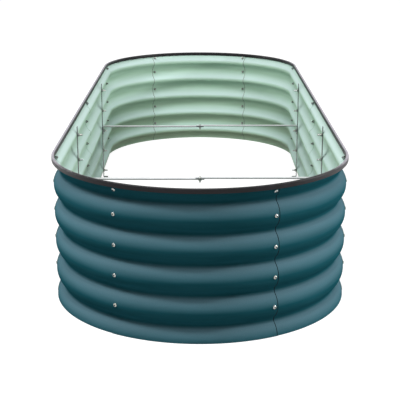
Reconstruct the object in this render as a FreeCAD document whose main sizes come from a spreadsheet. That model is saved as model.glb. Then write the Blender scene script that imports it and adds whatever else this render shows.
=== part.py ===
# A raised garden bed: a ring of corrugated sheet steel panels with round ends, open at the top and
# at the bottom, with a rubber edging on the rim and two bars across that keep the long sides straight.
# Millimetres. The origin is on the ground at the middle of the bed. X is across, Y is along, Z is up.

import FreeCAD, Part
import Sketcher
import math
import os

doc = FreeCAD.newDocument("garden_bed")

# ---------------------------------------------------------------- driving dimensions

DIMENSIONS = [
    ("endRadius", 435.5, "outside of a crest on an outer-lapped end panel"),
    ("straightRun", 1708, "straight part of each long side"),
    ("wavePitch", 86, "height of one corrugation"),
    ("waveCount", 5, "corrugations in the height of the wall"),
    ("waveDepth", 20, "crest to valley"),
    ("valleyRadius", 13, "outside surface at the bottom of a valley"),
    ("sheetThickness", 0.8, "painted steel sheet"),
    ("lapGap", 0.2, "paint and air between two lapped sheets, where they are steepest"),
    ("nearLeftSeamAngle", 32, "from the long centre line to an end panel's left seam, in degrees"),
    ("nearRightSeamAngle", 27.6, "the same for its right seam: the near end sits a little to the left"),
    ("farLeftSeamAngle", 31.3, "the same at the far end"),
    ("farRightSeamAngle", 29.4, "the same at the far end"),
    ("cornerSetback", 19, "corner seam to the start of the straight side, along the wall"),
    ("lapMargin", 11.5, "screw line of a seam to the edge of the sheet"),
    ("topNutGap", 2, "lower edge of the edging to the corner of a seam's first nut, before its tilt"),
    ("screwDiameter", 6, "M6 screws all over"),
    ("headDiameter", 10.5, "domed screw head"),
    ("headHeight", 3.3, "domed screw head"),
    ("socketWidth", 4, "hexagon socket across its flats"),
    ("socketDepth", 2, "hexagon socket"),
    ("nutWidth", 10, "hexagon nut across its flats"),
    ("nutHeight", 5, "hexagon nut"),
    ("seamScrewLength", 12, "under the head"),
    ("uprightScrewLength", 20, "under the head"),
    ("centreScrewLength", 18, "under the head"),
    ("holeClearance", 0.25, "round a screw in a sheet or bar, on the radius"),
    ("threadGap", 0.05, "between a screw and its nut, on the radius"),
    ("seatGap", 0.1, "between pieces that are screwed together"),
    ("uprightWidth", 16, "flat bar on the inner ridges"),
    ("uprightThickness", 2, "flat bar on the inner ridges"),
    ("uprightOverrun", 29, "upright beyond its first and last screw"),
    ("footLength", 19, "lower end of the upright, turned in"),
    ("crossWidth", 20, "flat bar across the bed"),
    ("crossThickness", 3, "flat bar across the bed"),
    ("crossRise", 18, "third upright screw to the underside of the lower cross bar half"),
    ("crossTail", 13, "third upright screw to the end of the cross bar's tab"),
    ("crossLap", 30, "lap of the two halves at the middle of the bed"),
    ("bendRadius", 2, "inside of the bends in the flat bars"),
    ("edgingWidth", 9, "rubber edging across the wall"),
    ("edgingHeight", 14, "rubber edging"),
    ("edgingTop", 2, "rubber above the edge of the sheet"),
    ("edgingGrip", 0.3, "between the edging's slot and the sheet"),
    ("edgingButt", 0.6, "gap where the ends of the edging strip meet"),
]

sheet = doc.addObject("Spreadsheet::Sheet", "dims")
for row, (alias, value, note) in enumerate(DIMENSIONS, start=1):
    sheet.set("A%d" % row, note)
    sheet.set("B%d" % row, str(value))
    sheet.setAlias("B%d" % row, alias)
doc.recompute()


def dim(alias):
    """A driving dimension as a plain number."""
    return float(getattr(sheet, alias))


def bind(obj, prop, formula):
    """Tie a property to a formula. A word after a dollar sign is a driving dimension."""
    obj.setExpression(prop, formula.replace("$", "dims."))


# ---------------------------------------------------------------- sizes that follow from them

pitch = dim("wavePitch")
depth = dim("waveDepth")
thickness = dim("sheetThickness")
wallHeight = pitch * dim("waveCount")
crestRadius = ((pitch / 2) ** 2 + depth ** 2) / (2 * depth) - dim("valleyRadius")
flankAngle = math.asin(pitch / 2 / (crestRadius + dim("valleyRadius")))
lapStep = thickness / math.cos(flankAngle) + dim("lapGap")
endCentre = dim("straightRun") / 2
headRadius = dim("headDiameter") / 2
nutCorner = dim("nutWidth") / 2 / math.cos(math.pi / 6)

# a seam has its first screw just under the edging, tilted with the wall, and one on each crest below
topScrewDrop = dim("edgingHeight") - dim("edgingTop") + nutCorner + dim("topNutGap")
topScrewHeight = wallHeight - topScrewDrop
topScrewTilt = math.asin(topScrewDrop / crestRadius)
topScrewInset = crestRadius * (1 - math.cos(topScrewTilt))
crestHeights = [wallHeight - pitch * n for n in range(1, int(dim("waveCount")))]
ridgeHeights = [wallHeight - pitch * (n + 0.5) for n in range(int(dim("waveCount")))]
middleRidge = ridgeHeights[len(ridgeHeights) // 2]


def crestRadiusOf(lap):
    """Outside of a crest, from the axis of the round end. lap is 0 outside a seam and 1 inside it."""
    return dim("endRadius") - lap * lapStep


def sagitta(radius, halfChord):
    """How far a round surface falls away from a flat one that touches it."""
    return radius - math.sqrt(radius ** 2 - halfChord ** 2)


# ---------------------------------------------------------------- helpers

def originFeature(body, role):
    """One of the body's own origin planes or axes."""
    return next(item for item in body.Origin.OriginFeatures if item.Role == role)


def newBody(name):
    """An empty body whose label is the name of its piece."""
    body = doc.addObject("PartDesign::Body", name)
    body.Label = name
    return body


def newSketch(body, plane, name):
    """A sketch on one of the body's origin planes."""
    sketch = body.newObject("Sketcher::SketchObject", name)
    sketch.AttachmentSupport = [(originFeature(body, plane), "")]
    sketch.MapMode = "FlatFace"
    return sketch


def sized(sketch, constraint, formula):
    """Add a constraint whose value comes from a formula."""
    number = sketch.addConstraint(constraint)
    bind(sketch, "Constraints[%d]" % number, formula)


def addLine(sketch, x1, y1, x2, y2):
    """A straight line in a sketch."""
    ends = [FreeCAD.Vector(x1, y1, 0), FreeCAD.Vector(x2, y2, 0)]
    return sketch.addGeometry(Part.LineSegment(*ends), False)


def addArc(sketch, x, y, radius, start, end):
    """An arc in a sketch, counter-clockwise from its start angle to its end angle."""
    whole = Part.Circle(FreeCAD.Vector(x, y, 0), FreeCAD.Vector(0, 0, 1), radius)
    return sketch.addGeometry(Part.ArcOfCircle(whole, start, end), False)


def closedOutline(sketch, points):
    """Straight lines through the points and back to the first, joined end to end."""
    count = len(points)
    for n in range(count):
        addLine(sketch, *points[n], *points[(n + 1) % count])
    for n in range(count):
        sketch.addConstraint(Sketcher.Constraint("Coincident", n, 2, (n + 1) % count, 1))
    for n in range(count):
        start, end = points[n], points[(n + 1) % count]
        if abs(start[1] - end[1]) < 1e-6:
            sketch.addConstraint(Sketcher.Constraint("Horizontal", n))
        elif abs(start[0] - end[0]) < 1e-6:
            sketch.addConstraint(Sketcher.Constraint("Vertical", n))


def circle(sketch, x, y, radiusFormula, xFormula, yFormula):
    """A circle whose centre and radius come from formulas."""
    spot = FreeCAD.Vector(x, y, 0)
    number = sketch.addGeometry(Part.Circle(spot, FreeCAD.Vector(0, 0, 1), 1), False)
    sized(sketch, Sketcher.Constraint("Radius", number, 1.0), radiusFormula)
    placePoint(sketch, number, 3, x, y, xFormula, yFormula)


def placePoint(sketch, element, point, x, y, xFormula, yFormula):
    """Hold a point at a place measured from the sketch's origin."""
    for kind, value, formula, axis in (("DistanceX", x, xFormula, -2), ("DistanceY", y, yFormula, -1)):
        if formula is None:
            sketch.addConstraint(Sketcher.Constraint("PointOnObject", element, point, axis))
        elif value >= 0:
            sized(sketch, Sketcher.Constraint(kind, -1, 1, element, point, value), formula)
        else:
            sized(sketch, Sketcher.Constraint(kind, element, point, -1, 1, -value), formula)


def place(obj, x, y, z, turn=0):
    """Put a finished piece in the bed's frame, turned about Z by turn degrees."""
    spin = FreeCAD.Rotation(FreeCAD.Vector(0, 0, 1), turn)
    obj.Placement = FreeCAD.Placement(FreeCAD.Vector(x, y, z), spin)


pieces = []


def finished(obj):
    """Note a piece that gets a file of its own."""
    pieces.append(obj)
    return obj


# ---------------------------------------------------------------- corrugated wall panels

CREST_FORMULA = "((($wavePitch/2)^2 + $waveDepth^2)/(2*$waveDepth) - $valleyRadius)"
FLANK_COSINE = "((($wavePitch/2)^2 - $waveDepth^2)/(($wavePitch/2)^2 + $waveDepth^2))"
LAP_STEP = "($sheetThickness/" + FLANK_COSINE + " + $lapGap)"
CREST_PLACE = "$endRadius - %d*" + LAP_STEP
RIDGE_INNER = CREST_PLACE + " - $waveDepth - $sheetThickness"
MARGIN_ANGLE = "$lapMargin/$endRadius*180/pi"
END_SPAN = "$%sLeftSeamAngle + $%sRightSeamAngle"
CORNER_SPAN = "90 - $%s - $cornerSetback/$endRadius*180/pi"


def waveSketch(body, lap):
    """One corrugation from crest to crest: two half crests and a valley, outside and inside.

    The sketch is on the body's XZ plane, with the axis of the round end as its upright axis.
    """
    sketch = newSketch(body, "XZ_Plane", "wave")
    crest = crestRadiusOf(lap)
    valley = dim("valleyRadius")
    lowCentre = (crest - crestRadius, 0)
    midCentre = (crest - depth + valley, pitch / 2)
    topCentre = (crest - crestRadius, pitch)
    valleyTurn = (math.pi - flankAngle, math.pi + flankAngle)
    lowOut = addArc(sketch, *lowCentre, crestRadius, 0, flankAngle)
    midOut = addArc(sketch, *midCentre, valley, *valleyTurn)
    topOut = addArc(sketch, *topCentre, crestRadius, -flankAngle, 0)
    topEdge = addLine(sketch, crest, pitch, crest - thickness, pitch)
    topIn = addArc(sketch, *topCentre, crestRadius - thickness, -flankAngle, 0)
    midIn = addArc(sketch, *midCentre, valley + thickness, *valleyTurn)
    lowIn = addArc(sketch, *lowCentre, crestRadius - thickness, 0, flankAngle)
    lowEdge = addLine(sketch, crest - thickness, 0, crest, 0)

    tangent = [(lowOut, 2, midOut, 2), (midOut, 1, topOut, 1), (topIn, 1, midIn, 1), (midIn, 2, lowIn, 2)]
    for first, firstEnd, second, secondEnd in tangent:
        sketch.addConstraint(Sketcher.Constraint("Tangent", first, firstEnd, second, secondEnd))
    joined = [(topOut, 2, topEdge, 1), (topEdge, 2, topIn, 2)]
    joined += [(lowIn, 1, lowEdge, 1), (lowEdge, 2, lowOut, 1)]
    for first, firstEnd, second, secondEnd in joined:
        sketch.addConstraint(Sketcher.Constraint("Coincident", first, firstEnd, second, secondEnd))
    for outer, inner in ((lowOut, lowIn), (midOut, midIn), (topOut, topIn)):
        sketch.addConstraint(Sketcher.Constraint("Coincident", outer, 3, inner, 3))
    sketch.addConstraint(Sketcher.Constraint("Horizontal", topEdge))
    sketch.addConstraint(Sketcher.Constraint("PointOnObject", lowEdge, 1, -1))
    sketch.addConstraint(Sketcher.Constraint("PointOnObject", lowEdge, 2, -1))
    sketch.addConstraint(Sketcher.Constraint("PointOnObject", lowOut, 3, -1))
    crestPlace = CREST_PLACE % lap
    sized(sketch, Sketcher.Constraint("DistanceX", -1, 1, lowOut, 1, crest), crestPlace)
    sized(sketch, Sketcher.Constraint("DistanceX", -1, 1, topOut, 2, crest), crestPlace)
    sized(sketch, Sketcher.Constraint("DistanceY", -1, 1, topOut, 2, pitch), "$wavePitch")
    sized(sketch, Sketcher.Constraint("DistanceY", -1, 1, topOut, 3, pitch), "$wavePitch")
    sized(sketch, Sketcher.Constraint("Radius", lowOut, crestRadius), CREST_FORMULA)
    sized(sketch, Sketcher.Constraint("Radius", topOut, crestRadius), CREST_FORMULA)
    sized(sketch, Sketcher.Constraint("Radius", midOut, valley), "$valleyRadius")
    sized(sketch, Sketcher.Constraint("DistanceX", lowEdge, 1, lowEdge, 2, thickness), "$sheetThickness")
    return sketch


def stackWaves(body, features):
    """Repeat one corrugation up the wall."""
    stack = body.newObject("PartDesign::LinearPattern", "stack")
    stack.Originals = features
    stack.Direction = (originFeature(body, "Z_Axis"), [""])
    bind(stack, "Length", "$wavePitch*($waveCount - 1)")
    bind(stack, "Occurrences", "$waveCount")
    body.Tip = stack
    doc.recompute()
    return stack


def curvedPanel(name, lap, span, turn, end):
    """A panel of a round end. Its first screw line is on the body's X axis, its last one at span."""
    body = newBody(name)
    profile = waveSketch(body, lap)
    bend = body.newObject("PartDesign::Revolution", "bend")
    bend.Profile = profile
    bend.ReferenceAxis = (originFeature(body, "Z_Axis"), [""])
    bend.Type = "TwoAngles"
    bind(bend, "Angle", span + " + " + MARGIN_ANGLE)
    bind(bend, "Angle2", MARGIN_ANGLE)
    doc.recompute()
    stackWaves(body, [bend])
    place(body, 0, end * endCentre, 0, turn)
    return body


def straightPanel(name, lap, side, end):
    """A long side panel, from the corner seam, where it already bends, to the middle of the side."""
    body = newBody(name)
    profile = waveSketch(body, lap)
    run = body.newObject("PartDesign::Pad", "run")
    run.Profile = profile
    run.Reversed = side * end < 0
    bind(run, "Length", "$straightRun/2 + $lapMargin")
    doc.recompute()
    bend = body.newObject("PartDesign::Revolution", "bend")
    bend.Profile = profile
    bend.ReferenceAxis = (originFeature(body, "Z_Axis"), [""])
    bend.Reversed = side * end < 0
    bind(bend, "Angle", "($cornerSetback + $lapMargin)/$endRadius*180/pi")
    doc.recompute()
    stackWaves(body, [run, bend])
    place(body, 0, end * endCentre, 0, 0 if side > 0 else 180)
    return body


# ---------------------------------------------------------------- rubber edging

SLOT_DEPTH = "($edgingHeight - $edgingTop)"
SLOT_SAG = "(" + CREST_FORMULA + " - sqrt(" + CREST_FORMULA + "^2 - " + SLOT_DEPTH + "^2))"
SLOT_OUTER = "($endRadius + $edgingGrip)"
SLOT_INNER = "($endRadius - " + LAP_STEP + " - $sheetThickness - " + SLOT_SAG + " - $edgingGrip)"
EDGING_MIDDLE = "((" + SLOT_OUTER + " + " + SLOT_INNER + ")/2)"


def rubberEdging():
    """An upside-down U of rubber, swept round the rim and butted at the far end of the bed."""
    body = newBody("rubber_edging")
    sketch = newSketch(body, "XZ_Plane", "section")
    bind(sketch, "AttachmentOffset.Base.z", "$straightRun/2")
    slotDepth = dim("edgingHeight") - dim("edgingTop")
    slotOuter = dim("endRadius") + dim("edgingGrip")
    slotInner = crestRadiusOf(1) - thickness - sagitta(crestRadius, slotDepth) - dim("edgingGrip")
    middle = (slotOuter + slotInner) / 2
    half = dim("edgingWidth") / 2
    top = wallHeight + dim("edgingTop")
    bottom = top - dim("edgingHeight")

    outerSide = addLine(sketch, middle + half, bottom, middle + half, top - half)
    crown = addArc(sketch, middle, top - half, half, 0, math.pi)
    innerSide = addLine(sketch, middle - half, top - half, middle - half, bottom)
    innerLip = addLine(sketch, middle - half, bottom, slotInner, bottom)
    slotInSide = addLine(sketch, slotInner, bottom, slotInner, wallHeight)
    slotTop = addLine(sketch, slotInner, wallHeight, slotOuter, wallHeight)
    slotOutSide = addLine(sketch, slotOuter, wallHeight, slotOuter, bottom)
    outerLip = addLine(sketch, slotOuter, bottom, middle + half, bottom)

    sketch.addConstraint(Sketcher.Constraint("Tangent", outerSide, 2, crown, 1))
    sketch.addConstraint(Sketcher.Constraint("Tangent", crown, 2, innerSide, 1))
    chain = [innerSide, innerLip, slotInSide, slotTop, slotOutSide, outerLip, outerSide]
    for first, second in zip(chain, chain[1:]):
        sketch.addConstraint(Sketcher.Constraint("Coincident", first, 2, second, 1))
    for edge in (outerSide, innerSide, slotInSide, slotOutSide):
        sketch.addConstraint(Sketcher.Constraint("Vertical", edge))
    for edge in (innerLip, slotTop, outerLip):
        sketch.addConstraint(Sketcher.Constraint("Horizontal", edge))
    wall = "$wavePitch*$waveCount"
    placePoint(sketch, slotTop, 1, slotInner, wallHeight, SLOT_INNER, wall)
    sized(sketch, Sketcher.Constraint("DistanceX", -1, 1, slotTop, 2, slotOuter), SLOT_OUTER)
    crownHeight = wall + " + $edgingTop - $edgingWidth/2"
    placePoint(sketch, crown, 3, middle, top - half, EDGING_MIDDLE, crownHeight)
    sized(sketch, Sketcher.Constraint("Radius", crown, half), "$edgingWidth/2")
    lip = Sketcher.Constraint("DistanceY", -1, 1, innerLip, 1, bottom)
    sized(sketch, lip, wall + " + $edgingTop - $edgingHeight")
    sketch.addConstraint(Sketcher.Constraint("PointOnObject", outerSide, 1, innerLip))

    bend = body.newObject("PartDesign::Revolution", "bend")
    bend.Profile = sketch
    bend.ReferenceAxis = (sketch, ["V_Axis"])
    bend.Angle = 180
    bend.Reversed = True
    run = body.newObject("PartDesign::Pad", "run")
    run.Profile = sketch
    run.Reversed = True
    bind(run, "Length", "$straightRun")
    doc.recompute()
    ring = body.newObject("PartDesign::PolarPattern", "ring")
    ring.Originals = [bend, run]
    ring.Axis = (originFeature(body, "Z_Axis"), [""])
    ring.Angle = 360
    ring.Occurrences = 2
    body.Tip = ring
    doc.recompute()

    slit = newSketch(body, "XY_Plane", "slit")
    right = dim("edgingButt") / 2
    low = endCentre + middle - dim("edgingWidth")
    high = endCentre + middle + dim("edgingWidth")
    closedOutline(slit, [(-right, low), (right, low), (right, high), (-right, high)])
    tip = "$straightRun/2 + " + EDGING_MIDDLE
    placePoint(slit, 0, 1, -right, low, "$edgingButt/2", tip + " - $edgingWidth")
    placePoint(slit, 2, 1, right, high, "$edgingButt/2", tip + " + $edgingWidth")
    butt = body.newObject("PartDesign::Pocket", "butt")
    butt.Profile = slit
    butt.Type = "ThroughAll"
    butt.Midplane = True
    whole = ring.Shape.Volume
    doc.recompute()
    if not butt.Shape.Volume < whole:
        raise RuntimeError("the butt joint cut nothing out of the edging")
    return body


# ---------------------------------------------------------------- flat bars with one bend

def bentBar(name, size, riseFormula, rise, reachFormula, reach):
    """An L of flat bar. Its corner is at the origin, one leg stands up Z and the other lies along -X."""
    body = newBody(name)
    sketch = newSketch(body, "XZ_Plane", "bend")
    bar = dim(size + "Thickness")
    inside = dim("bendRadius")
    outside = inside + bar
    outerSide = addLine(sketch, 0, rise, 0, outside)
    outerCorner = addArc(sketch, -outside, outside, outside, -math.pi / 2, 0)
    underside = addLine(sketch, -outside, 0, -reach, 0)
    footEnd = addLine(sketch, -reach, 0, -reach, bar)
    upperSide = addLine(sketch, -reach, bar, -outside, bar)
    innerCorner = addArc(sketch, -outside, outside, inside, -math.pi / 2, 0)
    innerSide = addLine(sketch, -bar, outside, -bar, rise)
    topEnd = addLine(sketch, -bar, rise, 0, rise)
    sketch.addConstraint(Sketcher.Constraint("Tangent", outerSide, 2, outerCorner, 2))
    sketch.addConstraint(Sketcher.Constraint("Tangent", outerCorner, 1, underside, 1))
    sketch.addConstraint(Sketcher.Constraint("Tangent", upperSide, 2, innerCorner, 1))
    sketch.addConstraint(Sketcher.Constraint("Tangent", innerCorner, 2, innerSide, 1))
    square = [(underside, footEnd), (footEnd, upperSide), (innerSide, topEnd), (topEnd, outerSide)]
    for first, second in square:
        sketch.addConstraint(Sketcher.Constraint("Coincident", first, 2, second, 1))
    for edge in (underside, topEnd):
        sketch.addConstraint(Sketcher.Constraint("Horizontal", edge))
    for edge in (outerSide, footEnd):
        sketch.addConstraint(Sketcher.Constraint("Vertical", edge))
    sketch.addConstraint(Sketcher.Constraint("PointOnObject", outerSide, 1, -2))
    sketch.addConstraint(Sketcher.Constraint("PointOnObject", underside, 2, -1))
    sketch.addConstraint(Sketcher.Constraint("Coincident", innerCorner, 3, outerCorner, 3))
    sized(sketch, Sketcher.Constraint("Radius", innerCorner, inside), "$bendRadius")
    outsideFormula = "$bendRadius + $" + size + "Thickness"
    sized(sketch, Sketcher.Constraint("Radius", outerCorner, outside), outsideFormula)
    sized(sketch, Sketcher.Constraint("DistanceY", -1, 1, outerSide, 1, rise), riseFormula)
    sized(sketch, Sketcher.Constraint("DistanceX", underside, 2, -1, 1, reach), reachFormula)

    pad = body.newObject("PartDesign::Pad", "bar")
    pad.Profile = sketch
    pad.Midplane = True
    bind(pad, "Length", "$" + size + "Width")
    doc.recompute()
    return body


def boredHole(body, plane, name, x, y, xFormula, yFormula):
    """A screw hole right through the body, square to one of its origin planes."""
    sketch = newSketch(body, plane, name + "_outline")
    circle(sketch, x, y, "$screwDiameter/2 + $holeClearance", xFormula, yFormula)
    bore = body.newObject("PartDesign::Pocket", name)
    bore.Profile = sketch
    bore.Type = "ThroughAll"
    bore.Midplane = True
    whole = body.Shape.Volume
    doc.recompute()
    if not bore.Shape.Volume < whole:
        raise RuntimeError("a hole in %s cut nothing" % body.Label)
    return bore


def upright(name):
    """The bar that stands on the inner ridges, with a hole at each of them and a foot turned in."""
    overrun = dim("uprightOverrun")
    rise = 2 * overrun + wallHeight - pitch
    riseFormula = "2*$uprightOverrun + $wavePitch*($waveCount - 1)"
    body = bentBar(name, "upright", riseFormula, rise, "$footLength", dim("footLength"))
    hole = boredHole(body, "YZ_Plane", "screw_hole", 0, overrun, None, "$uprightOverrun")
    row = body.newObject("PartDesign::LinearPattern", "screw_row")
    row.Originals = [hole]
    row.Direction = (originFeature(body, "Z_Axis"), [""])
    bind(row, "Length", "$wavePitch*($waveCount - 1)")
    bind(row, "Occurrences", "$waveCount")
    body.Tip = row
    doc.recompute()
    return body


def crossBarHalf(name, lap, upper):
    """Half of a bar across the bed: a tab for the upright's third screw, and an arm with a centre hole."""
    lift = upper * (dim("crossThickness") + dim("seatGap"))
    liftFormula = "%d*($crossThickness + $seatGap)" % upper
    drop = dim("crossRise") + dim("crossThickness") + lift
    dropFormula = "$crossRise + $crossThickness + " + liftFormula
    rise = drop + dim("crossTail")
    tabPlace = crestRadiusOf(lap) - depth - thickness - dim("uprightThickness") - 2 * dim("seatGap")
    tabFormula = RIDGE_INNER % lap + " - $uprightThickness - 2*$seatGap"
    reach = tabPlace + dim("crossLap") / 2
    body = bentBar(name, "cross", dropFormula + " + $crossTail", rise, tabFormula + " + $crossLap/2", reach)
    boredHole(body, "YZ_Plane", "tab_hole", 0, drop, None, dropFormula)
    boredHole(body, "XY_Plane", "centre_hole", -tabPlace, 0, tabFormula, None)
    return body


# ---------------------------------------------------------------- screws and nuts

def hexagon(sketch, radiusFormula, radius):
    """A hexagon round the sketch's origin, with a corner on its level axis."""
    turns = [n * math.pi / 3 for n in range(6)]
    corners = [(radius * math.cos(turn), radius * math.sin(turn)) for turn in turns]
    for n in range(6):
        addLine(sketch, *corners[n], *corners[(n + 1) % 6])
    ring = sketch.addGeometry(Part.Circle(FreeCAD.Vector(0, 0, 0), FreeCAD.Vector(0, 0, 1), radius), True)
    sketch.addConstraint(Sketcher.Constraint("Coincident", ring, 3, -1, 1))
    sized(sketch, Sketcher.Constraint("Radius", ring, radius), radiusFormula)
    for n in range(6):
        sketch.addConstraint(Sketcher.Constraint("Coincident", n, 2, (n + 1) % 6, 1))
        sketch.addConstraint(Sketcher.Constraint("PointOnObject", n, 1, ring))
    for n in range(5):
        sketch.addConstraint(Sketcher.Constraint("Equal", n, n + 1))
    sketch.addConstraint(Sketcher.Constraint("PointOnObject", 0, 1, -1))


def screwPattern(name, lengthName):
    """A domed screw with a hexagon socket. The underside of its head is at the origin, its tip up Z."""
    body = newBody(name)
    sketch = newSketch(body, "XZ_Plane", "half_section")
    shank = dim("screwDiameter") / 2
    length = dim(lengthName)
    rim = dim("headHeight") / 4
    tip = shank / 5
    dome = dim("headHeight") - rim
    domeRadius = (headRadius ** 2 + dome ** 2) / (2 * dome)
    spread = math.asin(headRadius / domeRadius)
    down = -math.pi / 2
    addArc(sketch, 0, domeRadius - dim("headHeight"), domeRadius, down, down + spread)
    corners = [(headRadius, -rim), (headRadius, 0), (shank, 0), (shank, length - tip)]
    corners += [(shank - tip, length), (0, length), (0, -dim("headHeight"))]
    for start, end in zip(corners, corners[1:]):
        addLine(sketch, *start, *end)
    for n in range(6):
        sketch.addConstraint(Sketcher.Constraint("Coincident", n, 2, n + 1, 1))
    sketch.addConstraint(Sketcher.Constraint("Coincident", 6, 2, 0, 1))
    for edge in (2, 5):
        sketch.addConstraint(Sketcher.Constraint("Horizontal", edge))
    for edge in (1, 3, 6):
        sketch.addConstraint(Sketcher.Constraint("Vertical", edge))
    sketch.addConstraint(Sketcher.Constraint("PointOnObject", 0, 3, -2))
    sketch.addConstraint(Sketcher.Constraint("PointOnObject", 0, 1, -2))
    sketch.addConstraint(Sketcher.Constraint("PointOnObject", 1, 2, -1))
    sized(sketch, Sketcher.Constraint("DistanceX", -1, 1, 1, 2, headRadius), "$headDiameter/2")
    sized(sketch, Sketcher.Constraint("DistanceY", 0, 1, -1, 1, dim("headHeight")), "$headHeight")
    sized(sketch, Sketcher.Constraint("DistanceY", 1, 1, 1, 2, rim), "$headHeight/4")
    sized(sketch, Sketcher.Constraint("DistanceX", -1, 1, 3, 1, shank), "$screwDiameter/2")
    sized(sketch, Sketcher.Constraint("DistanceY", -1, 1, 4, 2, length), "$" + lengthName)
    sized(sketch, Sketcher.Constraint("DistanceY", 4, 1, 4, 2, tip), "$screwDiameter/10")
    sized(sketch, Sketcher.Constraint("DistanceX", 4, 2, 4, 1, tip), "$screwDiameter/10")
    turned = body.newObject("PartDesign::Revolution", "turned")
    turned.Profile = sketch
    turned.ReferenceAxis = (originFeature(body, "Z_Axis"), [""])
    turned.Angle = 360
    doc.recompute()

    socket = newSketch(body, "XY_Plane", "socket_outline")
    hexagon(socket, "$socketWidth/2/cos(30deg)", dim("socketWidth") / 2 / math.cos(math.pi / 6))
    bind(socket, "AttachmentOffset.Base.z", "-$headHeight")
    recess = body.newObject("PartDesign::Pocket", "socket")
    recess.Profile = socket
    recess.Reversed = True
    bind(recess, "Length", "$socketDepth")
    doc.recompute()
    if not recess.Shape.Volume < turned.Shape.Volume:
        raise RuntimeError("the socket cut nothing out of " + name)
    return body


def nutPattern():
    """A hexagon nut that stands on the origin plane, with its thread drawn as a plain bore."""
    body = newBody("nut_pattern")
    outline = newSketch(body, "XY_Plane", "hexagon")
    hexagon(outline, "$nutWidth/2/cos(30deg)", nutCorner)
    bore = dim("screwDiameter") / 2 + dim("threadGap")
    ring = outline.addGeometry(Part.Circle(FreeCAD.Vector(0, 0, 0), FreeCAD.Vector(0, 0, 1), bore), False)
    outline.addConstraint(Sketcher.Constraint("Coincident", ring, 3, -1, 1))
    sized(outline, Sketcher.Constraint("Radius", ring, bore), "$screwDiameter/2 + $threadGap")
    block = body.newObject("PartDesign::Pad", "block")
    block.Profile = outline
    bind(block, "Length", "$nutHeight")
    doc.recompute()
    return body


def fastenerGroup(name, pattern, placements):
    """Copies of one screw or nut, as one piece with a separate solid for each."""
    copies = []
    for spot in placements:
        copy = doc.addObject("App::Link", name + "_copy")
        copy.LinkedObject = pattern
        copy.LinkTransform = True
        copy.LinkPlacement = spot
        copies.append(copy)
    group = doc.addObject("Part::Compound", name)
    group.Label = name
    group.Links = copies
    return finished(group)


def aimed(point, direction):
    """A placement at a point, with its Z axis turned to a direction."""
    return FreeCAD.Placement(point, FreeCAD.Rotation(FreeCAD.Vector(0, 0, 1), direction))


def seatedAlong(spot, distance):
    """The same placement, moved along its own Z axis."""
    return spot.multiply(FreeCAD.Placement(FreeCAD.Vector(0, 0, distance), FreeCAD.Rotation()))


def seamScrews(centreY, bearing):
    """Placements of a seam's screws, on the outside of the outer sheet, at a bearing in degrees."""
    outward = FreeCAD.Vector(math.cos(math.radians(bearing)), math.sin(math.radians(bearing)), 0)
    axis = FreeCAD.Vector(0, centreY, 0)
    rise = FreeCAD.Vector(0, 0, 1)
    crest = crestRadiusOf(0)
    facing = outward * math.cos(topScrewTilt) - rise * math.sin(topScrewTilt)
    surface = axis + outward * (crest - topScrewInset) + rise * topScrewHeight
    spots = [aimed(surface + facing * dim("seatGap"), facing * -1)]
    for height in crestHeights:
        surface = axis + outward * (crest + dim("seatGap")) + rise * height
        spots.append(aimed(surface, outward * -1))
    return spots


def seamNuts(screws):
    """The nuts of a seam, on the inside of the inner sheet. A nut's corners clear the hollow crest."""
    hollow = sagitta(crestRadius - thickness, nutCorner) + sagitta(crestRadiusOf(1) - thickness, nutCorner)
    grip = lapStep + thickness + hollow + 2 * dim("seatGap")
    return [seatedAlong(spot, grip) for spot in screws]


def uprightScrews(side, lap, y):
    """Placements of the screws through an upright, with their heads in the valleys outside."""
    outward = FreeCAD.Vector(side, 0, 0)
    hollow = sagitta(dim("valleyRadius"), headRadius)
    seat = crestRadiusOf(lap) - depth + hollow + dim("seatGap")
    return [aimed(FreeCAD.Vector(side * seat, y, height), outward * -1) for height in ridgeHeights]


def uprightNuts(screws):
    """The nuts of an upright. The middle one also holds the tab of the cross bar."""
    hollow = sagitta(dim("valleyRadius"), headRadius)
    grip = hollow + thickness + dim("uprightThickness") + 3 * dim("seatGap")
    tab = dim("crossThickness") + dim("seatGap")
    middle = len(screws) // 2
    return [seatedAlong(spot, grip + (tab if n == middle else 0)) for n, spot in enumerate(screws)]


# ---------------------------------------------------------------- screw holes in the sheet

def drilled(panel, name, screws):
    """The panel with a hole for each screw that passes through it."""
    drills = []
    for spot in screws:
        drill = doc.addObject("Part::Cylinder", name + "_drill")
        bind(drill, "Radius", "$screwDiameter/2 + $holeClearance")
        bind(drill, "Height", "2*$waveDepth")
        drill.Placement = seatedAlong(spot, -depth)
        drills.append(drill)
    tool = doc.addObject("Part::Compound", name + "_drills")
    tool.Links = drills
    cut = doc.addObject("Part::Cut", name)
    cut.Base = panel
    cut.Tool = tool
    cut.Label = name
    return finished(cut)


# ---------------------------------------------------------------- the whole bed

NEAR, FAR = -1, 1
LEFT, RIGHT = -1, 1
END_NAMES = {NEAR: "near", FAR: "far"}
SIDE_NAMES = {LEFT: "left", RIGHT: "right"}

setback = math.degrees(dim("cornerSetback") / dim("endRadius"))
uprightPlace = (endCentre + dim("cornerSetback")) / 2

# every second panel round the bed laps outside its neighbours: the near end, the near sides and the
# far corners outside, and the rest inside
END_LAP = {NEAR: 0, FAR: 1}
CORNER_LAP = {NEAR: 1, FAR: 0}
SIDE_LAP = {NEAR: 0, FAR: 1}

screwSets = {}


def bearingOf(side, end, angle):
    """World bearing of an outward direction that lies an angle away from the end of the long axis."""
    return end * 90 - side * end * angle


def seamAngleName(side, end):
    """The driving dimension that places one seam of an end panel."""
    return END_NAMES[end] + SIDE_NAMES[side].capitalize() + "SeamAngle"


def endSeamBearing(side, end):
    """World bearing of one seam of an end panel."""
    return bearingOf(side, end, dim(seamAngleName(side, end)))


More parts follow.
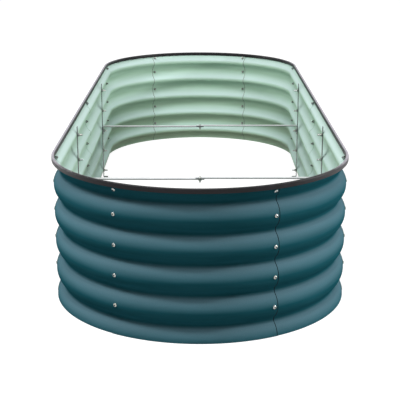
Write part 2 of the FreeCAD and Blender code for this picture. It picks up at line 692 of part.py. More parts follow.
for end in (NEAR, FAR):
    for side in (LEFT, RIGHT):
        corner = END_NAMES[end] + "_" + SIDE_NAMES[side]
        screwSets[corner + "_end_seam"] = seamScrews(end * endCentre, endSeamBearing(side, end))
        screwSets[corner + "_corner_seam"] = seamScrews(end * endCentre, bearingOf(side, end, 90 - setback))
        screwSets[corner + "_upright"] = uprightScrews(side, SIDE_LAP[end], end * uprightPlace)
for side in (LEFT, RIGHT):
    screwSets[SIDE_NAMES[side] + "_middle_seam"] = seamScrews(0, 0 if side > 0 else 180)

for end in (NEAR, FAR):
    endName = END_NAMES[end]
    name = endName + "_end_panel"
    firstBearing = min(endSeamBearing(LEFT, end), endSeamBearing(RIGHT, end))
    blank = curvedPanel(name + "_blank", END_LAP[end], END_SPAN % (endName, endName), firstBearing, end)
    drilled(blank, name, screwSets[endName + "_left_end_seam"] + screwSets[endName + "_right_end_seam"])
    for side in (LEFT, RIGHT):
        corner = endName + "_" + SIDE_NAMES[side]
        seams = screwSets[corner + "_end_seam"] + screwSets[corner + "_corner_seam"]
        firstBearing = min(endSeamBearing(side, end), bearingOf(side, end, 90 - setback))
        blankName = corner + "_corner_panel_blank"
        span = CORNER_SPAN % seamAngleName(side, end)
        blank = curvedPanel(blankName, CORNER_LAP[end], span, firstBearing, end)
        drilled(blank, corner + "_corner_panel", seams)
        seams = screwSets[corner + "_corner_seam"] + screwSets[SIDE_NAMES[side] + "_middle_seam"]
        blank = straightPanel(corner + "_side_panel_blank", SIDE_LAP[end], side, end)
        drilled(blank, corner + "_side_panel", seams + screwSets[corner + "_upright"])

finished(rubberEdging())

for end in (NEAR, FAR):
    for side in (LEFT, RIGHT):
        corner = END_NAMES[end] + "_" + SIDE_NAMES[side]
        lap = SIDE_LAP[end]
        faceTurn = 0 if side > 0 else 180
        ridge = crestRadiusOf(lap) - depth - thickness
        bar = finished(upright(corner + "_upright"))
        foot = ridgeHeights[-1] - dim("uprightOverrun")
        place(bar, side * (ridge - dim("seatGap")), end * uprightPlace, foot, faceTurn)
        upper = 1 if side > 0 else 0
        half = finished(crossBarHalf(corner + "_cross_bar", lap, upper))
        lift = (1 + upper) * dim("crossThickness") + upper * dim("seatGap")
        tab = ridge - dim("uprightThickness") - 2 * dim("seatGap")
        spot = FreeCAD.Vector(side * tab, end * uprightPlace, middleRidge + dim("crossRise") + lift)
        upsideDown = FreeCAD.Rotation(FreeCAD.Vector(1, 0, 0), 180)
        spin = FreeCAD.Rotation(FreeCAD.Vector(0, 0, 1), faceTurn)
        half.Placement = FreeCAD.Placement(spot, spin.multiply(upsideDown))

seamScrew = screwPattern("seam_screw_pattern", "seamScrewLength")
uprightScrew = screwPattern("upright_screw_pattern", "uprightScrewLength")
centreScrew = screwPattern("centre_screw_pattern", "centreScrewLength")
nut = nutPattern()
for name, screws in screwSets.items():
    onUpright = name.endswith("upright")
    pattern, nuts = (uprightScrew, uprightNuts) if onUpright else (seamScrew, seamNuts)
    fastenerGroup(name + "_screws", pattern, screws)
    fastenerGroup(name + "_nuts", nut, nuts(screws))
for end in (NEAR, FAR):
    armTop = middleRidge + dim("crossRise") + 2 * dim("crossThickness") + dim("seatGap")
    head = FreeCAD.Vector(0, end * uprightPlace, armTop + dim("seatGap"))
    screw = aimed(head, FreeCAD.Vector(0, 0, -1))
    grip = 2 * dim("crossThickness") + 3 * dim("seatGap")
    fastenerGroup(END_NAMES[end] + "_centre_screw", centreScrew, [screw])
    fastenerGroup(END_NAMES[end] + "_centre_nut", nut, [seatedAlong(screw, grip)])

doc.recompute()

# ---------------------------------------------------------------- checks, then one file a piece

for obj in doc.Objects:
    if "Invalid" in obj.State or "Error" in obj.State:
        raise RuntimeError("%s did not rebuild: %s" % (obj.Label, obj.State))
for piece in pieces:
    if piece.Shape.isNull() or not piece.Shape.isValid() or not piece.Shape.Solids:
        raise RuntimeError("%s has no valid solid" % piece.Label)

os.makedirs("parts", exist_ok=True)
for piece in pieces:
    piece.Shape.exportStep("parts/%s.step" % piece.Label)
    print("%-32s %3d solids  %10.0f mm3" % (piece.Label, len(piece.Shape.Solids), piece.Shape.Volume))
print(len(pieces), "pieces")
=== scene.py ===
import math

import bpy
from mathutils import Matrix, Vector


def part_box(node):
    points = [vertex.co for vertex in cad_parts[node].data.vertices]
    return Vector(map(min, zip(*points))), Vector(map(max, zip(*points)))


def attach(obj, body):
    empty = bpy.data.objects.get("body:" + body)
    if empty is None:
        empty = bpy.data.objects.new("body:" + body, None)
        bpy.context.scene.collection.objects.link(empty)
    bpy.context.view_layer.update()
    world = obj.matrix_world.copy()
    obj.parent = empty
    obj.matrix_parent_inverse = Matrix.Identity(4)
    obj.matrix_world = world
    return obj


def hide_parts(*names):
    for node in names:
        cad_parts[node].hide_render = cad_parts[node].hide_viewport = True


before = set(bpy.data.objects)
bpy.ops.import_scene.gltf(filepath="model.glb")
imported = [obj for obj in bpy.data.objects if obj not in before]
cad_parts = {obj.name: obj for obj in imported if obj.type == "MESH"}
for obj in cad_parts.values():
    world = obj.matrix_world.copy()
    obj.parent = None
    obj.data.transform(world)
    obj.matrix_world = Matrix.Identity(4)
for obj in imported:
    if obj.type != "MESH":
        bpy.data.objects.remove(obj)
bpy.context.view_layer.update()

scene = bpy.context.scene
print("frame loaded:", len(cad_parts), "pieces")

origin = (0, 0, 0)
alongBed = (0, 1, 0)
upwards = (0, 0, 1)
onePoint = 1e-6    # points nearer to each other than this are one


def deselectAll():
    if bpy.context.object and bpy.context.object.mode != "OBJECT":
        bpy.ops.object.mode_set(mode="OBJECT")
    bpy.ops.object.select_all(action="DESELECT")


def startPoint(x, y, z):  # a new object with one point in it, in edit mode, to draw an outline from
    deselectAll()
    bpy.ops.mesh.primitive_plane_add(size=0.01, location=origin)   # of any size, as it shrinks to a point
    bpy.ops.object.mode_set(mode="EDIT")
    bpy.ops.mesh.merge(type="CENTER")
    bpy.ops.transform.translate(value=(x, y, z))
    return bpy.context.object


def drawLine(x, y, z):  # extrude what is selected by this much
    bpy.ops.mesh.extrude_region_move(TRANSFORM_OT_translate={"value": (x, y, z)})


def drawArc(angle, steps, centre, axis):  # spin turns the other way round, hence the minus
    bpy.ops.mesh.spin(steps=steps, angle=-angle, center=centre, axis=axis)


def selectPoints(piece, test):  # in edit mode, select only the points that pass the test
    bpy.ops.mesh.select_all(action="DESELECT")
    bpy.ops.object.mode_set(mode="OBJECT")
    for point in piece.data.vertices:
        point.select = test(point.co)
    for edge in piece.data.edges:
        edge.select = all(piece.data.vertices[v].select for v in edge.vertices)
    for face in piece.data.polygons:
        face.select = all(piece.data.vertices[v].select for v in face.vertices)
    bpy.ops.object.mode_set(mode="EDIT")


def closeUp(reach=onePoint):  # join what the strokes left double, and turn every face outwards
    bpy.ops.mesh.select_all(action="SELECT")
    bpy.ops.mesh.remove_doubles(threshold=reach)
    bpy.ops.mesh.normals_make_consistent(inside=False)


def useModifier(piece, kind, **settings):
    bpy.context.view_layer.objects.active = piece
    modifier = piece.modifiers.new(kind.lower(), kind)
    for name, value in settings.items():
        setattr(modifier, name, value)
    bpy.ops.object.modifier_apply(modifier=modifier.name)


def setDown(piece, matrix):  # move a finished mesh to its place, and leave its object at the origin
    piece.data.transform(matrix)
    piece.data.update()


def finishPiece(piece, name, node, smooth):
    deselectAll()
    piece.select_set(True)
    bpy.context.view_layer.objects.active = piece
    bpy.ops.object.shade_smooth_by_angle(angle=math.radians(smooth))
    piece.name = name
    piece.data.name = name
    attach(piece, "root")
    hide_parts(node)


def linear(hexColour):  # an sRGB colour as the linear values that a socket takes
    channels = [int(hexColour[n:n + 2], 16) / 255 for n in (1, 3, 5)]
    return [c / 12.92 if c <= 0.04045 else ((c + 0.055) / 1.055) ** 2.4 for c in channels] + [1]


def setSockets(node, sockets):  # each takes a number, a hex colour or the output of another node
    for socket, value in sockets.items():
        if isinstance(value, bpy.types.NodeSocket):
            node.id_data.links.new(value, node.inputs[socket])
        elif isinstance(value, str):
            node.inputs[socket].default_value = linear(value)
        else:
            node.inputs[socket].default_value = value


def addNode(tree, kind, sockets, **settings):
    # a Mix of colours takes its share at socket 0 and the colours at 6 and 7, and gives its result at 2
    node = tree.nodes.new("ShaderNode" + kind)
    for name, value in settings.items():
        setattr(node, name, value)
    setSockets(node, sockets)
    return node


def newMaterial(name, sockets):
    material = bpy.data.materials.new(name)
    material.use_nodes = True
    shader = material.node_tree.nodes["Principled BSDF"]
    setSockets(shader, sockets)
    return material, material.node_tree, shader


def patches(tree, place, size, low, high, detail=2, stretch=(1, 1, 1)):  # soft noise from 0 to 1
    mapped = addNode(tree, "Mapping", {"Vector": place, "Scale": stretch}).outputs["Vector"]
    noise = addNode(tree, "TexNoise", {"Vector": mapped, "Scale": 1 / size, "Detail": detail}).outputs["Fac"]
    shares = addNode(tree, "MapRange", {"Value": noise, "From Min": low, "From Max": high})
    return shares.outputs["Result"]


paintGrain = {  # sizes in metres; "Facing" pairs are a normal's Z where a painted tint begins and where it is whole
    "streaks": {"size": 0.180, "low": 0.35, "high": 0.65, "detail": 3, "stretch": (1, 1, 12)},  # from rolling
    "specks": {"size": 0.0015, "low": 0.25, "high": 0.75},        # specks that thicken and thin the painted sheen, drawn coarse so that it shows
    "peel": {"size": 0.004, "low": 0, "high": 1, "detail": 1},    # orange peel, coarser than the real 1 mm
    "peelDepth": 0.00012,
    "peelStrength": 0.5,
    "sheenFacing": (-0.05, 0.65),
    "bounceFacing": (0.3, -0.4),
}
outsidePaint = {
    "name": "satin_teal_coil_coating",
    "colour": "#256773",
    "streak": "#2c6e7b",
    "film": "#93b3c2",              # painted sheen: a pale tint on what faces up, in place of the paint's highlight
    "sheenShare": (0.374, 0.506),    # its least and most, from speck to speck
    "roughness": (0.41, 0.49),
    "specular": 0.0,                # no gloss: in a white room it would wash out the dark undersides
}
insidePaint = {
    "name": "mint_backing_coat",
    "colour": "#b0d1ba",
    "streak": "#b8d8c2",
    # painted sheen on what faces up, as outside
    "film": "#d4e6ec",
    "sheenShare": (0.4675, 0.6325),
    "roughness": (0.41, 0.49),
    "specular": 0.02,
    "bounceTint": "#b4b28c",              # painted shade: an olive tint of warm bounced light, on the lower waves where they face down
    "bounceShare": 0.35,
    "bounceHeight": (0.26, 0.04),     # none of the tint above the first height, all of it below the second
}


def paint(look):
    # coil-coated steel: a polyester paint baked on before the sheet is rolled, so even, with a faint peel
    material, tree, shader = newMaterial(look["name"], {"Specular IOR Level": look["specular"]})
    where = addNode(tree, "TexCoord", {}).outputs
    place = where["Object"]
    up = addNode(tree, "SeparateXYZ", {0: where["Normal"]}).outputs["Z"]
    streaks = patches(tree, place, **paintGrain["streaks"])
    colour = addNode(tree, "Mix", {0: streaks, 6: look["colour"], 7: look["streak"]}, data_type="RGBA")

    # painted sheen: a pale tint, mixed in as a face turns up, in place of a highlight
    begin, whole = paintGrain["sheenFacing"]
    facing = addNode(tree, "MapRange", {"Value": up, "From Min": begin, "From Max": whole})
    least, most = look["sheenShare"]
    specks = patches(tree, place, **paintGrain["specks"])
    film = addNode(tree, "MapRange", {"Value": specks, "To Min": least, "To Max": most})
    share = addNode(tree, "Math", {0: facing.outputs[0], 1: film.outputs[0]}, operation="MULTIPLY")
    colour = addNode(tree, "Mix", {0: share.outputs[0], 6: colour.outputs[2], 7: look["film"]},
                     data_type="RGBA")

    # painted shade: the olive tint of bounced light, on low faces that turn down
    if "bounceTint" in look:
        begin, whole = look["bounceHeight"]
        height = addNode(tree, "SeparateXYZ", {0: place}).outputs["Z"]
        low = addNode(tree, "MapRange", {"Value": height, "From Min": begin, "From Max": whole})
        begin, whole = paintGrain["bounceFacing"]
        under = addNode(tree, "MapRange", {"Value": up, "From Min": begin, "From Max": whole,
                                           "To Max": look["bounceShare"]})
        share = addNode(tree, "Math", {0: low.outputs[0], 1: under.outputs[0]}, operation="MULTIPLY")
        colour = addNode(tree, "Mix", {0: share.outputs[0], 6: colour.outputs[2], 7: look["bounceTint"]},
                         data_type="RGBA")

    least, most = look["roughness"]
    rough = addNode(tree, "MapRange", {"Value": streaks, "To Min": least, "To Max": most})
    peel = addNode(tree, "Bump", {"Height": patches(tree, place, **paintGrain["peel"]),
                                  "Distance": paintGrain["peelDepth"],
                                  "Strength": paintGrain["peelStrength"]})
    setSockets(shader, {"Base Color": colour.outputs[2], "Roughness": rough.outputs[0],
                        "Normal": peel.outputs[0]})
    return material


bareSteel = {
    # near black: painted shadow, on the sheets' cut edges and on the outside strip of a lap, where its gap
    # throws a shadow
    "shadedCutEdge": ("shadowed_sheet_edge", "#0b1113", "#1c2629"),
    "shadedMint": ("shaded_backing_coat", "#8d9c91", "#a3b2a7"),   # a greyer mint: painted shadow at the inside edges of the curved sheets
    "scratches": {"size": 0.003, "low": 0.3, "high": 0.7, "stretch": (1, 1, 4)},   # short, across the edge
    "depth": 0.0001,
    "strength": 0.4,
    "metallic": 0.3,
    "roughness": 0.6,
    "specular": 0.1,
}


def shearedSteel(name, dark, light):
    # galvanised sheet, sheared after it was painted: dull, with the short scratches of the shear's blade, in
    # dark colours that paint the shadow at the sheets' edges and laps
    material, tree, shader = newMaterial(name, {"Metallic": bareSteel["metallic"],
                                                "Roughness": bareSteel["roughness"],
                                                "Specular IOR Level": bareSteel["specular"]})
    place = addNode(tree, "TexCoord", {}).outputs["Object"]
    scratches = patches(tree, place, **bareSteel["scratches"])
    colour = addNode(tree, "Mix", {0: scratches, 6: dark, 7: light}, data_type="RGBA")
    bump = addNode(tree, "Bump", {"Height": scratches, "Distance": bareSteel["depth"],
                                  "Strength": bareSteel["strength"]})
    setSockets(shader, {"Base Color": colour.outputs[2], "Normal": bump.outputs[0]})
    return material


rubberLook = {
    "dark": "#0a090c",
    "light": "#19161b",
    "bloom": {"size": 0.030, "low": 0.35, "high": 0.7, "detail": 4},   # dull patches that rubber sweats out
    "grain": {"size": 0.0012, "low": 0, "high": 1, "detail": 1},   # its skin, coarser than the real 0.2 mm
    "grainDepth": 0.00008,
    "grainStrength": 0.4,
    "roughness": (0.34, 0.46),
    "specular": 0.24,
    "crownSheen": "#b3adb9",          # painted sheen: a violet grey tint on the crown of the strip, in place of its reflection
    "crownSheenShare": 0.6,
    "crownSheenOutwards": 0.5,        # how much more of it lies on what faces out from the bed
    "crownSheenFacing": (0.3, 0.6),   # none on what faces up less than the first, all of it from the second on
    "crownSheenSides": (0.37, 0.43),  # along the sides only: it sets in between these distances from the middle
}


def extrudedRubber():
    # solid rubber strip: near black, a soft gloss, a faint violet grey bloom, and a painted sheen on the
    # crown along the sides
    material, tree, shader = newMaterial("extruded_rubber", {"Specular IOR Level": rubberLook["specular"]})
    where = addNode(tree, "TexCoord", {}).outputs
    place = where["Object"]
    bloom = patches(tree, place, **rubberLook["bloom"])
    colour = addNode(tree, "Mix", {0: bloom, 6: rubberLook["dark"], 7: rubberLook["light"]},
                     data_type="RGBA")

    # painted sheen: a pale tint on the crown where it turns up and out, along the sides only
    across = addNode(tree, "SeparateXYZ", {0: place}).outputs["X"]
    normal = addNode(tree, "SeparateXYZ", {0: where["Normal"]}).outputs
    outwards = addNode(tree, "Math", {0: normal["X"], 1: across}, operation="MULTIPLY").outputs[0]
    exposed = addNode(tree, "Math", {0: outwards, 1: rubberLook["crownSheenOutwards"], 2: normal["Z"]},
                      operation="MULTIPLY_ADD").outputs[0]
    begin, whole = rubberLook["crownSheenFacing"]
    paintedCrownSheen = addNode(tree, "MapRange", {"Value": exposed, "From Min": begin, "From Max": whole,
                                           "To Max": rubberLook["crownSheenShare"]})
    begin, whole = rubberLook["crownSheenSides"]
    fromMiddle = addNode(tree, "Math", {0: across}, operation="ABSOLUTE").outputs[0]
    sides = addNode(tree, "MapRange", {"Value": fromMiddle, "From Min": begin, "From Max": whole})
    share = addNode(tree, "Math", {0: paintedCrownSheen.outputs[0], 1: sides.outputs[0]}, operation="MULTIPLY")
    colour = addNode(tree, "Mix", {0: share.outputs[0], 6: colour.outputs[2], 7: rubberLook["crownSheen"]},
                     data_type="RGBA")

    least, most = rubberLook["roughness"]
    rough = addNode(tree, "MapRange", {"Value": bloom, "To Min": least, "To Max": most})
    grain = addNode(tree, "Bump", {"Height": patches(tree, place, **rubberLook["grain"]),
                                   "Distance": rubberLook["grainDepth"],
                                   "Strength": rubberLook["grainStrength"]})
    setSockets(shader, {"Base Color": colour.outputs[2], "Roughness": rough.outputs[0],
                        "Normal": grain.outputs[0]})
    return material


zincLook = {
    "blue": "#9fa6ab",
    "yellow": "#aaa99c",
    "film": {"size": 0.004, "low": 0.35, "high": 0.65, "detail": 3},   # patches of its two tints
    "roughness": (0.22, 0.36),
    "cornerShade": "#30363a",          # painted shade in the corner round a head
    "cornerShadeReach": 0.003,
    "cornerShadeOpen": (0.45, 0.95),   # painted shade where a spot is less open than the first, none from the second on
    "samples": 8,
}


def zincPlating():
    # zinc-plated, clear-passivated steel: silver with a thin tinted film, dull, and darkened in its corners
    # by painted shade
    material, tree, shader = newMaterial("bright_zinc_plating", {"Metallic": 1.0})
    place = addNode(tree, "TexCoord", {}).outputs["Object"]
    film = patches(tree, place, **zincLook["film"])
    colour = addNode(tree, "Mix", {0: film, 6: zincLook["blue"], 7: zincLook["yellow"]}, data_type="RGBA")
    # painted shade: darker where little is open round a spot
    corner = addNode(tree, "AmbientOcclusion", {"Distance": zincLook["cornerShadeReach"]},
                     samples=zincLook["samples"])
    begin, whole = zincLook["cornerShadeOpen"]
    unshaded = addNode(tree, "MapRange", {"Value": corner.outputs["AO"], "From Min": begin, "From Max": whole})
    colour = addNode(tree, "Mix", {0: unshaded.outputs[0], 6: zincLook["cornerShade"], 7: colour.outputs[2]},
                     data_type="RGBA")
    least, most = zincLook["roughness"]
    rough = addNode(tree, "MapRange", {"Value": film, "To Min": least, "To Max": most})
    setSockets(shader, {"Base Color": colour.outputs[2], "Roughness": rough.outputs[0]})
    return material


spangle = {
    "size": 0.006,       # crystals of the hot-dip zinc
    "depth": 0.00005,
    "strength": 0.3,
    "cloud": {"size": 0.050, "low": 0.3, "high": 0.7},   # slow change of tone along a bar
}
barLook = {
    "name": "galvanised_flat_bar",
    "dark": "#cacdd0",
    "light": "#e9ebec",
    "edge": "#5c6261",   # painted shade on the narrow edges, which face along the bed
    "metallic": 0.3,
    "roughness": (0.32, 0.46),
}
# the uprights: a darker copy of the bars' zinc, as painted shade, for they stand in the bed's shade
uprightLook = {
    "name": "shaded_flat_bar",
    "dark": "#6a716f",
    "light": "#88908d",
    "edge": "#565c5a",
    "metallic": 0.8,
    "roughness": (0.39, 0.53),
}


def hotDipZinc(look):
    # hot-dip galvanised flat bar: grey metal whose zinc crystals each catch the light a little differently
    material, tree, shader = newMaterial(look["name"], {"Metallic": look["metallic"]})
    where = addNode(tree, "TexCoord", {}).outputs
    place = where["Object"]
    crystals = addNode(tree, "TexVoronoi", {"Vector": place, "Scale": 1 / spangle["size"]}).outputs
    shade = addNode(tree, "SeparateColor", {"Color": crystals["Color"]}).outputs["Red"]
    cloud = patches(tree, place, **spangle["cloud"])
    tone = addNode(tree, "Math", {0: shade, 1: cloud}, operation="MULTIPLY").outputs[0]
    face = addNode(tree, "Mix", {0: tone, 6: look["dark"], 7: look["light"]}, data_type="RGBA")
    # painted shade: the narrow edges that face along the bed are drawn darker
    along = addNode(tree, "SeparateXYZ", {0: where["Normal"]}).outputs["Y"]
    edgeShade = addNode(tree, "Math", {0: along}, operation="ABSOLUTE").outputs[0]
    colour = addNode(tree, "Mix", {0: edgeShade, 6: face.outputs[2], 7: look["edge"]}, data_type="RGBA")
    least, most = look["roughness"]
    rough = addNode(tree, "MapRange", {"Value": shade, "To Min": least, "To Max": most})
    bump = addNode(tree, "Bump", {"Height": crystals["Distance"], "Distance": spangle["depth"],
                                  "Strength": spangle["strength"]})
    setSockets(shader, {"Base Color": colour.outputs[2], "Roughness": rough.outputs[0],
                        "Normal": bump.outputs[0]})
    return material


tealPaint = paint(outsidePaint)
mintPaint = paint(insidePaint)
shadedCutEdge = shearedSteel(*bareSteel["shadedCutEdge"])
shadedMint = shearedSteel(*bareSteel["shadedMint"])
rubber = extrudedRubber()
zinc = zincPlating()
barSteel = hotDipZinc(barLook)
uprightSteel = hotDipZinc(uprightLook)
print("materials made")


wall = {
    "pitch": 0.086,
    "waves": 5,
    "depth": 0.020,
    "valleyRadius": 0.013,
    "sheet": 0.0008,
    "cornerSetback": 0.019,
    "margin": 0.0115,     # screw line to the edge of the sheet
    "crestSteps": 14,
    "valleySteps": 10,
    "bendStep": 2.0,      # degrees of the round end in one strip of faces
    "setbackSteps": 3,
    "smooth": 35,         # degrees up to which an edge is shaded round
    "shadowWidth": 0.0022,       # strip at each upright edge of a curved sheet, drawn darker as painted shadow of the lap
    "seams": {            # degrees from the long centre line to each seam of the end panels
        "near_left": 32,
        "near_right": 27.6,
        "far_left": 31.3,
        "far_right": 29.4,
    },
}
wall["top"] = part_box("near_end_panel")[1].z
bothRadii = ((wall["pitch"] / 2) ** 2 + wall["depth"] ** 2) / (2 * wall["depth"])
wall["crestRadius"] = bothRadii - wall["valleyRadius"]
wall["flank"] = math.asin(wall["pitch"] / 2 / bothRadii)
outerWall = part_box("near_right_side_panel")[1].x   # crests of a sheet that laps outside
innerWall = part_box("far_right_side_panel")[1].x    # crests of a sheet that laps inside
endCentre = -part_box("near_end_panel")[0].y - outerWall
setback = math.degrees(wall["cornerSetback"] / outerWall)
margin = math.degrees(wall["margin"] / outerWall)

coats = (  # what each kind of strip shows outside, inside and on its cut edge
    (tealPaint, mintPaint, shadedCutEdge),
    (shadedCutEdge, shadedMint, shadedCutEdge),
    (tealPaint, shadedMint, shadedCutEdge),
)
wholeStrip = 0    # the first slot of each kind
seamShadowStrip = 3
mintShadowStrip = 6
insideSlot = 1    # how far on from that its inside and its cut edge come
edgeSlot = 2


def waveOutline(radius):  # the sheet's section, from the rim down, standing on the X axis
    crest = radius - wall["crestRadius"]
    valley = radius - wall["depth"] + wall["valleyRadius"]
    piece = startPoint(radius, 0, wall["top"])
    drawArc(wall["flank"], wall["crestSteps"] // 2, (crest, 0, wall["top"]), alongBed)
    for n in range(wall["waves"]):
        middle = wall["top"] - wall["pitch"] * (n + 0.5)
        drawArc(-2 * wall["flank"], wall["valleySteps"], (valley, 0, middle), alongBed)
        parts = 1 if n == wall["waves"] - 1 else 2   # the last crest is cut off in its middle
        drawArc(parts * wall["flank"], parts * wall["crestSteps"] // 2,
                (crest, 0, middle - wall["pitch"] / 2), alongBed)
    return piece


def giveThickness(piece, stripOf, rimSlot):  # stripOf tells the kind of strip that a face lies on
    closeUp()
    bpy.ops.object.mode_set(mode="OBJECT")
    if piece.data.polygons[0].normal.x < 0:  # the first face stands on the X axis, so X is outwards there
        bpy.ops.object.mode_set(mode="EDIT")
        bpy.ops.mesh.flip_normals()
        bpy.ops.object.mode_set(mode="OBJECT")
    for outside, inside, edge in coats:
        for material in (outside, inside, edge):
            piece.data.materials.append(material)
    for face in piece.data.polygons:
        face.material_index = stripOf(face.center)
    useModifier(piece, "SOLIDIFY", thickness=wall["sheet"], offset=-1, use_even_offset=True,
                material_offset=insideSlot, material_offset_rim=rimSlot)


def finishSheet(piece, name, place):
    setDown(piece, place)
    finishPiece(piece, name + "_sheet", name + "_panel", wall["smooth"])


def curvedSheet(name, radius, bearings, end):  # between two seams, and a margin past each
    piece = waveOutline(radius)
    whole = math.radians(max(bearings) - min(bearings) + 2 * margin)
    shadowWidth = wall["shadowWidth"] / radius
    steps = round(math.degrees(whole) / wall["bendStep"])
    bpy.ops.mesh.select_all(action="SELECT")
    drawArc(shadowWidth, 1, origin, upwards)
    drawArc(whole - 2 * shadowWidth, steps, origin, upwards)
    drawArc(shadowWidth, 1, origin, upwards)

    def stripOf(spot):  # painted shadow: a greyer mint inside at both edges, and near black outside too where the sweep ends
        angle = math.atan2(spot.y, spot.x)
        if angle > whole - shadowWidth:
            return seamShadowStrip
        return mintShadowStrip if angle < shadowWidth else wholeStrip

    giveThickness(piece, stripOf, edgeSlot)
    turn = Matrix.Rotation(math.radians(min(bearings) - margin), 4, "Z")
    finishSheet(piece, name, Matrix.Translation((0, end * endCentre, 0)) @ turn)


def straightSheet(name, radius, side, end):  # from the bed's middle to where the round end has begun
    piece = waveOutline(radius)
    hand = side * end
    bpy.ops.mesh.select_all(action="SELECT")
    drawLine(0, -hand * (endCentre + wall["margin"]), 0)
    selectPoints(piece, lambda spot: abs(spot.y) < onePoint)
    drawArc(hand * math.radians(setback + margin), wall["setbackSteps"], origin, upwards)
    giveThickness(piece, lambda spot: wholeStrip, insideSlot)   # no dark line shows at these sheets' edges
    turn = Matrix.Rotation(0 if side > 0 else math.pi, 4, "Z")
    finishSheet(piece, name, Matrix.Translation((0, end * endCentre, 0)) @ turn)


def bearingOf(side, end, angle):  # from the angle off the long centre line to one about Z
    return end * 90 - side * end * angle


for endName, end in (("near", -1), ("far", 1)):
    endRadius = outerWall if end < 0 else innerWall
    cornerRadius = innerWall if end < 0 else outerWall
    seams = []
    for sideName, side in (("left", -1), ("right", 1)):
        corner = endName + "_" + sideName
        seam = bearingOf(side, end, wall["seams"][corner])
        seams.append(seam)
        curvedSheet(corner + "_corner", cornerRadius, (seam, bearingOf(side, end, 90 - setback)), end)
        straightSheet(corner + "_side", endRadius, side, end)
    curvedSheet(endName + "_end", endRadius, seams, end)
print("panels made")


edging = {
    "width": 0.009,
    "height": 0.014,
    "slotWidth": 0.0045,
    "slotTop": 0.002,     # rubber above the edge of the sheet
    "butt": 0.0006,       # gap where the ends of the strip meet, at the far tip
    "rib": 0.004,         # fine ribs across the strip, one to each of these
    "ribDepth": 0.0003,
    "crownSteps": 8,
    "ribWeld": 0.00001,   # how far apart the ends of two ribs may lie when they are joined
    "runWeld": 0.0001,    # and the ends of two runs
    "smooth": 25,
}
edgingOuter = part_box("rubber_edging")[1].x
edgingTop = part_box("rubber_edging")[1].z
edgingMiddle = edgingOuter - edging["width"] / 2


def edgingOutline():  # an upside-down U, standing on the X axis
    half = edging["width"] / 2
    lip = (edging["width"] - edging["slotWidth"]) / 2
    straight = edging["height"] - half
    slotDepth = edging["height"] - edging["slotTop"]
    piece = startPoint(edgingOuter, 0, edgingTop - edging["height"])
    drawLine(0, 0, straight)
    drawArc(-math.pi, edging["crownSteps"], (edgingMiddle, 0, edgingTop - half), alongBed)
    drawLine(0, 0, -straight)
    drawLine(lip, 0, 0)
    drawLine(0, 0, slotDepth)
    drawLine(edging["slotWidth"], 0, 0)
    drawLine(0, 0, -slotDepth)
    drawLine(lip, 0, 0)
    bpy.ops.mesh.select_all(action="SELECT")
    bpy.ops.mesh.remove_doubles(threshold=onePoint)
    return piece


def grooveMiddle(piece, test):  # sink the ring of points between the rib's two ends
    selectPoints(piece, test)
    thin = 1 - 2 * edging["ribDepth"] / edging["width"]
    bpy.ops.transform.resize(value=(thin, thin, 1), center_override=(edgingMiddle, 0, edgingTop))
    bpy.ops.object.mode_set(mode="OBJECT")


def repeatRib(piece, count, **settings):
    useModifier(piece, "ARRAY", count=count, use_relative_offset=False, use_merge_vertices=True,
                merge_threshold=edging["ribWeld"], **settings)


def straightRun():  # one rib, repeated along the side
    count = round(2 * endCentre / edging["rib"])
    stroke = endCentre / count
    piece = edgingOutline()
    drawLine(0, stroke, 0)
    drawLine(0, stroke, 0)
    grooveMiddle(piece, lambda spot: abs(spot.y - stroke) < stroke / 2)
    repeatRib(piece, count, use_constant_offset=True, constant_offset_displace=(0, 2 * stroke, 0))
    setDown(piece, Matrix.Translation((0, -endCentre, 0)))
    return piece


def roundRun(angle):  # one rib, repeated round the far end from the end of the right side
    count = round(angle * edgingMiddle / edging["rib"])
    turn = angle / count
    piece = edgingOutline()
    drawArc(turn, 2, origin, upwards)
    grooveMiddle(piece, lambda spot: abs(math.atan2(spot.y, spot.x) - turn / 2) < turn / 4)
    bpy.ops.object.empty_add(location=origin, rotation=(0, 0, turn))
    hub = bpy.context.object
    repeatRib(piece, count, use_object_offset=True, offset_object=hub)
    bpy.data.objects.remove(hub)
    setDown(piece, Matrix.Translation((0, endCentre, 0)))
    return piece


def ribbedEdging():  # two sides, the near end, and two halves of the far end that meet at its tip
    tip = math.pi / 2 - edging["butt"] / 2 / edgingMiddle
    across = Matrix.Rotation(math.pi, 4, "Z")
    mirror = Matrix.Scale(-1, 4, (1, 0, 0))
    runs = [straightRun(), straightRun(), roundRun(math.pi), roundRun(tip), roundRun(tip)]
    for run, place in zip(runs, (Matrix(), across, across, Matrix(), mirror)):
        setDown(run, place)
    deselectAll()
    for run in runs:
        run.select_set(True)
    bpy.context.view_layer.objects.active = runs[0]
    bpy.ops.object.join()
    piece = bpy.context.object
    bpy.ops.object.mode_set(mode="EDIT")
    closeUp(edging["runWeld"])
    bpy.ops.mesh.select_all(action="DESELECT")
    bpy.ops.mesh.select_non_manifold(extend=False, use_wire=False, use_multi_face=False,
                                     use_non_contiguous=False, use_verts=False, use_boundary=True)
    bpy.ops.mesh.fill_holes(sides=0)   # the two cut ends at the tip
    closeUp()
    bpy.ops.object.mode_set(mode="OBJECT")
    piece.data.materials.append(rubber)
    finishPiece(piece, "ribbed_edging", "rubber_edging", edging["smooth"])


ribbedEdging()
print("edging made")


finishes = {  # by the last word of a node's name; the panels and the edging are replaced above
    "screw": zinc,
    "screws": zinc,
    "nut": zinc,
    "nuts": zinc,
    "bar": barSteel,
    "upright": uprightSteel,
}
for name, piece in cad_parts.items():
    finish = finishes.get(name.split("_")[-1])
    if finish:
        piece.data.materials.clear()
        piece.data.materials.append(finish)
print("bars, screws and nuts finished")


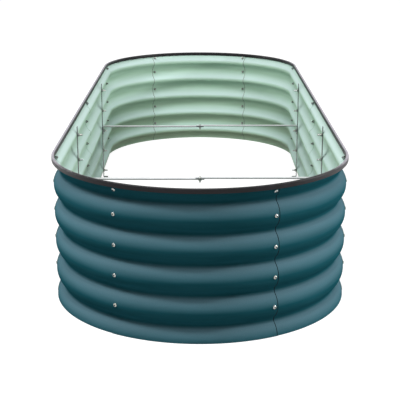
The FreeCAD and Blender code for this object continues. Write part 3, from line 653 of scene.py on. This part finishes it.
studio = {
    "camera": (0, -3.834, 1.126),
    "pitch": 15.89,         # degrees below the level
    "lens": 92.57,
    "sensor": 36,           # the lens and this are in mm, and give the photo's angle of view
    "farthest": 100,
    "floorSize": 40,
    "floorGrey": "#8f8f8f",
    "floorRoughness": 0.9,
    "whiteNear": 1.5,       # the floor seen by the camera whitens from this far off the bed's middle
    "whiteFar": 6,          # to this far
    "whiteLeast": 0.9,
    "ambient": 0.03,
    "lampTarget": (0, 0, 0.2),
    "lampDistance": 5.0,
}
lamps = {  # height above the level and bearing from the camera's side, in degrees, then size and power
    "overheadRight": (70, 30, 1.3, 60),
    "overheadLeft": (70, -30, 1.3, 62),
    "front": (50, 0, 1.3, 40),
    "frontLeft": (52, -60, 1.0, 84),
    "frontRight": (45, 60, 1.0, 42),
    "right": (16, 84, 0.3, 84),
    "left": (16, -105, 0.3, 52),
    "backLeft": (25, -150, 0.4, 22),
    "backRight": (25, 150, 0.4, 22),
}


def backgroundRay(tree):  # 1 for rays that show the background: camera, mirror and glass rays
    rays = addNode(tree, "LightPath", {}).outputs
    mirror = addNode(tree, "Math", {0: rays["Is Camera Ray"], 1: rays["Is Glossy Ray"]},
                     operation="MAXIMUM").outputs[0]
    return addNode(tree, "Math", {0: mirror, 1: rays["Is Transmission Ray"]}, operation="MAXIMUM").outputs[0]


def paleFloor():  # a matt grey floor, which shows white with the bed's shadow on it
    deselectAll()
    bpy.ops.mesh.primitive_plane_add(size=studio["floorSize"], location=origin)
    floor = bpy.context.object
    floor.name = "floor"
    material, tree, shader = newMaterial("pale_floor", {"Base Color": studio["floorGrey"],
                                                        "Roughness": studio["floorRoughness"],
                                                        "Specular IOR Level": 0})
    place = addNode(tree, "TexCoord", {}).outputs["Object"]
    away = addNode(tree, "VectorMath", {0: place}, operation="LENGTH").outputs["Value"]
    glow = addNode(tree, "MapRange", {"Value": away, "From Min": studio["whiteNear"],
                                      "From Max": studio["whiteFar"], "To Min": studio["whiteLeast"]})
    white = addNode(tree, "Emission", {"Color": "#ffffff", "Strength": glow.outputs[0]})
    both = addNode(tree, "AddShader", {0: white.outputs[0], 1: shader.outputs[0]})
    pick = addNode(tree, "MixShader", {0: backgroundRay(tree), 1: shader.outputs[0], 2: both.outputs[0]})
    setSockets(tree.nodes["Material Output"], {"Surface": pick.outputs[0]})
    floor.data.materials.append(material)


def whiteWorld():  # white where it shows as background, and only a little light from all round
    world = bpy.data.worlds.new("studio")
    scene.world = world
    world.use_nodes = True
    tree = world.node_tree
    strength = addNode(tree, "MapRange", {"Value": backgroundRay(tree), "To Min": studio["ambient"]})
    setSockets(tree.nodes["Background"], {"Color": "#ffffff", "Strength": strength.outputs[0]})


def softbox(name, height, bearing, size, power):
    lamp = bpy.data.lights.new(name, "AREA")
    lamp.shape = "SQUARE"
    lamp.size = size
    lamp.energy = power
    holder = bpy.data.objects.new(name, lamp)
    up = math.radians(height)
    aside = math.radians(bearing)
    away = Vector((math.cos(up) * math.sin(aside), -math.cos(up) * math.cos(aside), math.sin(up)))
    holder.location = Vector(studio["lampTarget"]) + away * studio["lampDistance"]
    holder.rotation_euler = (-away).to_track_quat("-Z", "Y").to_euler()
    scene.collection.objects.link(holder)


def placeCamera():
    camera = bpy.data.objects.new("camera", bpy.data.cameras.new("camera"))
    scene.collection.objects.link(camera)
    camera.location = studio["camera"]
    camera.rotation_euler = (math.radians(90 - studio["pitch"]), 0, 0)
    camera.data.lens = studio["lens"]
    camera.data.sensor_width = studio["sensor"]
    camera.data.clip_end = studio["farthest"]
    scene.camera = camera


paleFloor()
whiteWorld()
for name, facts in lamps.items():
    softbox(name, *facts)
placeCamera()
scene.view_settings.view_transform = "Standard"
print("studio made")
